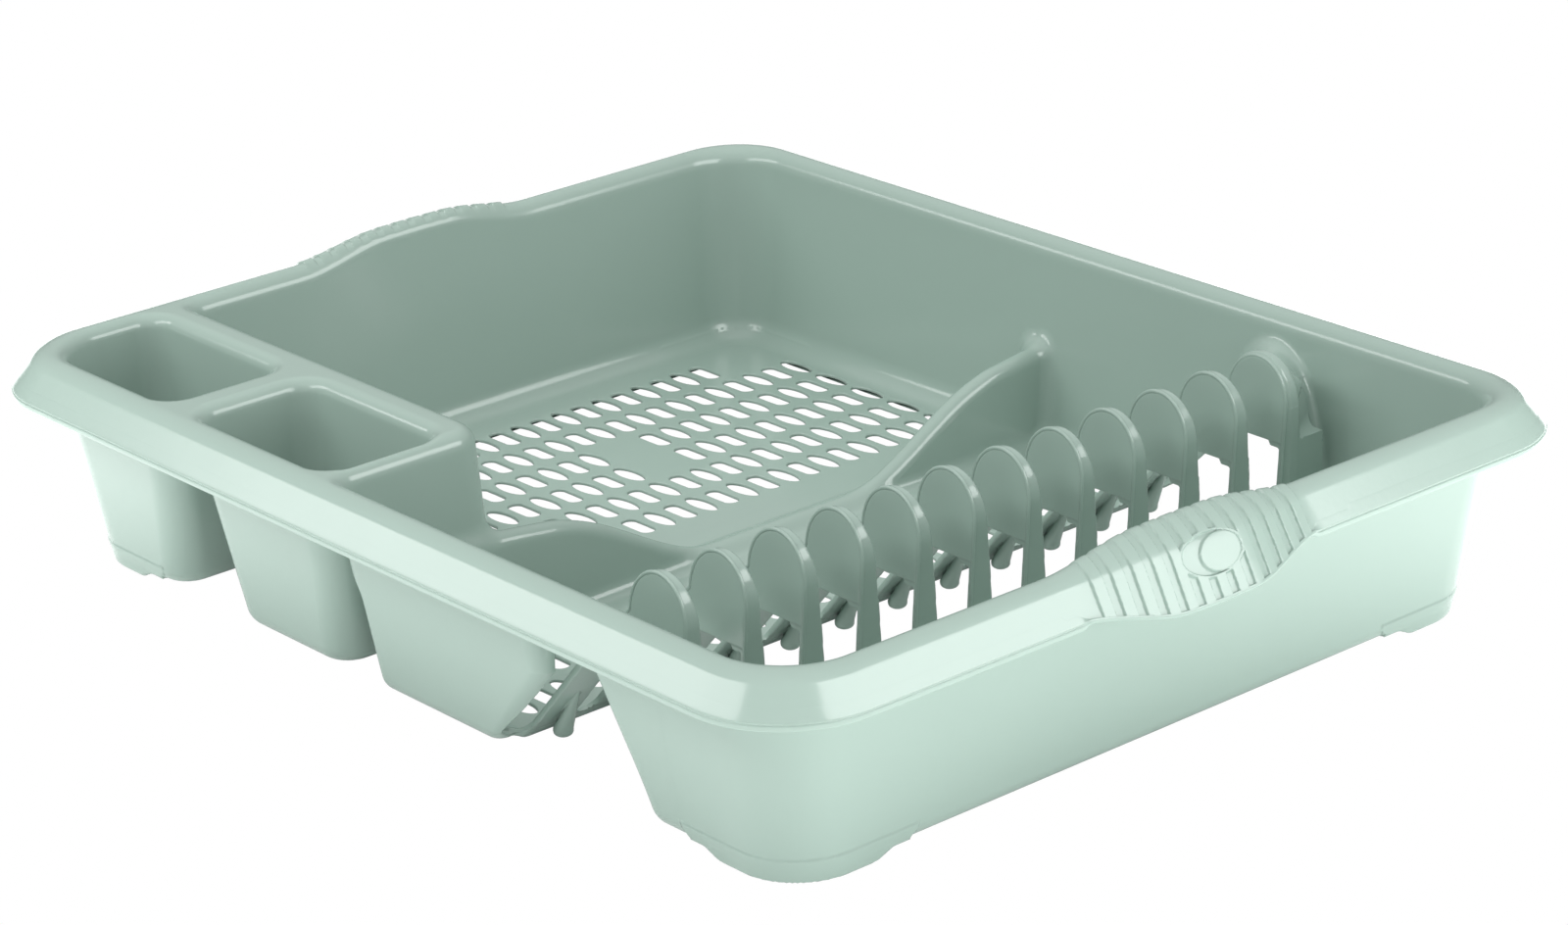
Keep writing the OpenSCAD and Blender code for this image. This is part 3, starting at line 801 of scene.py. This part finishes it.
def perimeter():
    """Points of the plain outline with their outward normals, round the rack once."""
    flat_x, flat_y, r = HALF_X - CORNER_R, HALF_Y - CORNER_R, CORNER_R
    plain_y, fine_y, step = 68, 67.5, 1.25
    ys = np.concatenate([np.linspace(-flat_y, -plain_y, 12),
                         np.arange(-fine_y, fine_y + 0.1, step),
                         np.linspace(plain_y, flat_y, 12)])
    xs = np.linspace(flat_x, -flat_x, 24)
    turn = [(math.cos(a), math.sin(a)) for a in np.linspace(0, math.pi / 2, 40)[1:-1]]
    rings = [(HALF_X, y, 1, 0) for y in ys]
    rings += [(flat_x + r * c, flat_y + r * s, c, s) for c, s in turn]
    rings += [(x, HALF_Y, 0, 1) for x in xs]
    rings += [(-flat_x - r * s, flat_y + r * c, -s, c) for c, s in turn]
    rings += [(-HALF_X, -y, -1, 0) for y in ys]
    rings += [(-flat_x - r * c, -flat_y - r * s, -c, -s) for c, s in turn]
    rings += [(-x, -HALF_Y, 0, -1) for x in xs]
    rings += [(flat_x + r * s, -flat_y - r * c, s, -c) for c, s in turn]
    return rings


def build_lip(material):
    """The lip, as one section carried round the rim."""
    points = []
    for x, y, nx, ny in perimeter():
        on_side = abs(nx) == 1
        b = float(grip_amount(y, nx)) if on_side else 0.0
        bar = float(frame_amount(y, nx)) if on_side else 0.0
        section = lip_profile(b, on_side and abs(y) < GRIP_Y + 0.5, bar)
        points.append([(x - nx * i, y - ny * i, z) for i, z in section])
    points = np.array(points)
    n, m = points.shape[:2]
    faces = []
    for a in range(n):
        c = (a + 1) % n
        faces += [(a * m + k, a * m + k + 1, c * m + k + 1, c * m + k) for k in range(m - 1)]
    mesh = bpy.data.meshes.new("rim_lip")
    mesh.from_pydata((points.reshape(-1, 3) * MM).tolist(), [], faces)
    mesh.polygons.foreach_set("use_smooth", np.ones(len(faces), bool))
    finish_piece("rim_lip", mesh, [], material)


# ---------- slotted floors ----------

SLOT_SIDES = 24
SLOT_STRAIGHT, SLOT_R = 4.9, 3.3
LEAF_REACH, LEAF_HALF = 9.0, 3.5
PLATE_LIFT, PLATE_THICK, PLATE_LAP = 0.02, 1.2, 1.5

# Rounding of a slot's upper edge, as (growth, depth) from the plate's top down
SLOT_EDGE = ((0.6, 0), (0.38, 0.05), (0.15, 0.2), (0.03, 0.45))


def slot_turn():
    """Cosines and sines of the directions round a slot."""
    turn = np.radians(np.arange(0, 360, 360 // SLOT_SIDES))
    return np.cos(turn), np.sin(turn)


def slot_outline(pointed, grow):
    """A slot along X with round ends, or a leaf drawn out to two points."""
    c, s = slot_turn()
    if pointed:
        reach = LEAF_REACH * np.sign(c) * np.abs(c) ** 0.95
        wide = LEAF_HALF * np.sign(s) * np.abs(s) ** 1.12
        return np.stack([reach + grow * c, wide + grow * s], 1)
    straight = SLOT_STRAIGHT * np.sign(np.round(c, 6))
    return np.stack([straight + (SLOT_R + grow) * c, (SLOT_R + grow) * s], 1)


def slotted_plate(name, window, x_first, rows, y_first, cols, material, blank=None):
    """Flat plate with a grid of slots whose upper edges are rounded."""
    top, bottom = FLOOR + PLATE_LIFT, FLOOR - PLATE_THICK
    square = np.stack(slot_turn(), 1)
    square = square / np.abs(square).max(axis=1)[:, None]
    cell = square * (SLOT_PITCH_X / 2, SLOT_PITCH_Y / 2)
    x0, x1, y0, y1 = window
    xs = [x0 - PLATE_LAP, *(x_first + (i - 0.5) * SLOT_PITCH_X for i in range(rows + 1)),
          x1 + PLATE_LAP]
    ys = [y0 - PLATE_LAP,
          *(y_first + (k - 0.5) * SLOT_PITCH_Y for k in range(cols[0], cols[1] + 2)),
          y1 + PLATE_LAP]
    points, faces, smooth_faces = [], [], []

    def add_blank(left, right, front, back):
        base = len(points)
        for z in (top, bottom):
            points.extend([(left, front, z), (right, front, z), (right, back, z), (left, back, z)])
        faces.append((base, base + 1, base + 2, base + 3))
        faces.append((base + 7, base + 6, base + 5, base + 4))
        smooth_faces.extend([False, False])

    def add_slot(cx, cy, pointed):
        loops = [(cell, top)]
        loops += [(slot_outline(pointed, grow), top - down) for grow, down in SLOT_EDGE]
        loops += [(slot_outline(pointed, 0), bottom), (cell, bottom)]
        base = len(points)
        for loop, z in loops:
            points.extend([(cx + u, cy + v, z) for u, v in loop])
        for a in range(len(loops) - 1):
            p, q = base + a * SLOT_SIDES, base + (a + 1) * SLOT_SIDES
            for k in range(SLOT_SIDES):
                n = (k + 1) % SLOT_SIDES
                faces.append((p + k, p + n, q + n, q + k))
                smooth_faces.append(0 < a < len(loops) - 2)

    for i in range(len(xs) - 1):
        for j in range(len(ys) - 1):
            row, col = i - 1, cols[0] + j - 1
            slotted = 0 <= row < rows and cols[0] <= col <= cols[1]
            if slotted and not (blank and blank(row, col)):
                add_slot((xs[i] + xs[i + 1]) / 2, (ys[j] + ys[j + 1]) / 2, col % 2 == 0)
            else:
                add_blank(xs[i], xs[i + 1], ys[j], ys[j + 1])
    mesh = bpy.data.meshes.new(name)
    mesh.from_pydata([(x * MM, y * MM, z * MM) for x, y, z in points], [], faces)
    mesh.polygons.foreach_set("use_smooth", smooth_faces)
    finish_piece(name, mesh, [name], material)


def build_floors(material):
    """The basin's floor, with a blank middle and corner, and the trough's."""
    def basin_blank(row, col):
        return (row in (2, 3) and col in (3, 4)) or (row == 0 and col > 11)

    slotted_plate("basin_floor", BASIN_WINDOW, -174.8, 6, 2.4, (-8, 14), material, basin_blank)
    slotted_plate("trough_floor", TROUGH_WINDOW, 11.8, 2, -140.6, (0, 27), material)


# ---------- camera and light ----------

# Where the lens is, in metres, and which way its right and up sides point
CAMERA_AT = (1.18694, -0.98292, 0.65212)
CAMERA_RIGHT, CAMERA_UP = (0.65315, 0.75635, -0.03652), (-0.25510, 0.26518, 0.92984)

# The dark patch of the light table under the rack: its half sizes in metres and its fade
PATCH_HALF_X, PATCH_HALF_Y, PATCH_FADE = 0.24, 0.20, (0.8, 1.5)
PATCH_GLOW = 0.1

# Across the view the table is brighter to the sides, and brighter on the right than the left
ASIDE, SIDE_DISTANCE, MIDDLE_SHARE, SIDE_SHARE, TILT = (0.64, 0.77, 0), 0.5, 0.42, 1.3, 0.4
TABLE_HALF = 6.0


def add_camera():
    """Lens at the photograph's viewing angle."""
    camera = bpy.data.cameras.new("camera")
    camera.sensor_width = 36
    camera.lens = 103.27
    camera.shift_x = -0.0014
    right, up = Vector(CAMERA_RIGHT), Vector(CAMERA_UP)
    place = Matrix((right, up, right.cross(up))).transposed().to_4x4()
    place.translation = Vector(CAMERA_AT)
    ob = bpy.data.objects.new("camera", camera)
    ob.matrix_world = place
    bpy.context.scene.collection.objects.link(ob)
    bpy.context.scene.camera = ob


def add_strip(name, start, end, height, radiance, diffuse=True, sheen=True):
    """Softbox strip whose middle line runs from start to end, facing the rack."""
    start, end = Vector(start), Vector(end)
    middle = (start + end) / 2
    along = (end - start).normalized()
    back = (middle - Vector((0, 0, 0.05))).normalized()
    back = (back - along * back.dot(along)).normalized()
    light = bpy.data.lights.new(name, "AREA")
    light.shape = "RECTANGLE"
    light.size, light.size_y = (end - start).length, height
    light.energy = radiance * math.pi * light.size * light.size_y
    ob = bpy.data.objects.new(name, light)
    place = Matrix((along, back.cross(along), back)).transposed().to_4x4()
    place.translation = middle
    ob.matrix_world = place
    ob.visible_camera = False
    ob.visible_diffuse = diffuse
    ob.visible_glossy = sheen
    bpy.context.scene.collection.objects.link(ob)


def table_material():
    """Pale light table: the lens sees it white, and it lights the rack mostly from both sides."""
    material = bpy.data.materials.new("floor")
    material.use_nodes = True
    tree = material.node_tree
    links = tree.links
    shader = tree.nodes["Principled BSDF"]
    shader.inputs["Base Color"].default_value = (0.85, 0.85, 0.85, 1)
    shader.inputs["Roughness"].default_value = 0.9
    shader.inputs["Emission Color"].default_value = (1, 1, 1, 1)
    where = add_node(tree, "TexCoord")

    scale = add_math(tree, "VectorMath", "MULTIPLY", (1 / PATCH_HALF_X, 1 / PATCH_HALF_Y, 0))
    reach = add_math(tree, "VectorMath", "LENGTH")
    glow = add_node(tree, "MapRange", From_Min=PATCH_FADE[0], From_Max=PATCH_FADE[1],
                    To_Min=PATCH_GLOW, To_Max=TABLE_GLOW)
    glow.interpolation_type = "SMOOTHSTEP"
    links.new(where.outputs["Object"], scale.inputs[0])
    links.new(scale.outputs["Vector"], reach.inputs[0])
    links.new(reach.outputs["Value"], glow.inputs["Value"])

    aside = add_math(tree, "VectorMath", "DOT_PRODUCT", ASIDE)
    away = add_math(tree, "Math", "ABSOLUTE")
    sector = add_node(tree, "MapRange", From_Max=SIDE_DISTANCE, To_Min=MIDDLE_SHARE,
                      To_Max=SIDE_SHARE)
    tilt = add_math(tree, "Math", "MULTIPLY_ADD", TILT)
    links.new(where.outputs["Object"], aside.inputs[0])
    links.new(aside.outputs["Value"], away.inputs[0])
    links.new(away.outputs["Value"], sector.inputs["Value"])
    links.new(aside.outputs["Value"], tilt.inputs[0])
    links.new(sector.outputs["Result"], tilt.inputs[2])

    both = add_math(tree, "Math", "MULTIPLY")
    links.new(glow.outputs["Result"], both.inputs[0])
    links.new(tilt.outputs["Value"], both.inputs[1])
    links.new(both.outputs["Value"], shader.inputs["Emission Strength"])
    plain_to_camera(tree, shader, add_node(tree, "Emission"), tree.nodes["Material Output"])
    return material


def add_floor():
    """The flat table that the rack stands on."""
    mesh = bpy.data.meshes.new("floor")
    corners = [(-1, -1), (1, -1), (1, 1), (-1, 1)]
    mesh.from_pydata([(x * TABLE_HALF, y * TABLE_HALF, 0) for x, y in corners], [], [(0, 1, 2, 3)])
    mesh.materials.append(table_material())
    floor = bpy.data.objects.new("floor", mesh)
    bpy.context.scene.collection.objects.link(floor)


def add_studio():
    """A bright ceiling over dim walls, a light table below, softbox strips and two low fills."""
    world = bpy.data.worlds.new("studio")
    world.use_nodes = True
    tree = world.node_tree
    sky = tree.nodes["Background"]
    sky.inputs["Color"].default_value = (1, 1, 1, 1)
    where = add_node(tree, "TexCoord")
    split = add_node(tree, "SeparateXYZ")
    rise = add_node(tree, "MapRange", To_Min=SKY_LOW, To_Max=SKY_TOP)
    tree.links.new(where.outputs["Generated"], split.inputs[0])
    tree.links.new(split.outputs["Z"], rise.inputs["Value"])
    tree.links.new(rise.outputs["Result"], sky.inputs["Strength"])
    white = add_node(tree, "Background", Color=(1, 1, 1, 1))
    plain_to_camera(tree, sky, white, tree.nodes["World Output"])
    bpy.context.scene.world = world
    bpy.context.scene.view_settings.view_transform = "Standard"
    add_floor()
    add_strip("left_strip", (-1.65, -1.00, 0.93), (0.08, -1.00, 0.97), 0.35, LEFT_GLOW)
    add_strip("right_strip", (1.00, 1.15, 0.90), (1.00, -0.15, 0.92), 0.60, RIGHT_GLOW,
              diffuse=False)
    add_strip("side_fill", (1.25, 1.10, 0.25), (1.25, -0.35, 0.25), 0.40, SIDE_FILL, sheen=False)
    add_strip("front_fill", (0.05, -1.20, 0.28), (0.75, -1.20, 0.28), 0.30, FRONT_FILL, sheen=False)


add_camera()
add_studio()
plastic = sage_plastic()
build_field_pieces(plastic)
build_lip(plastic)
build_floors(plastic)
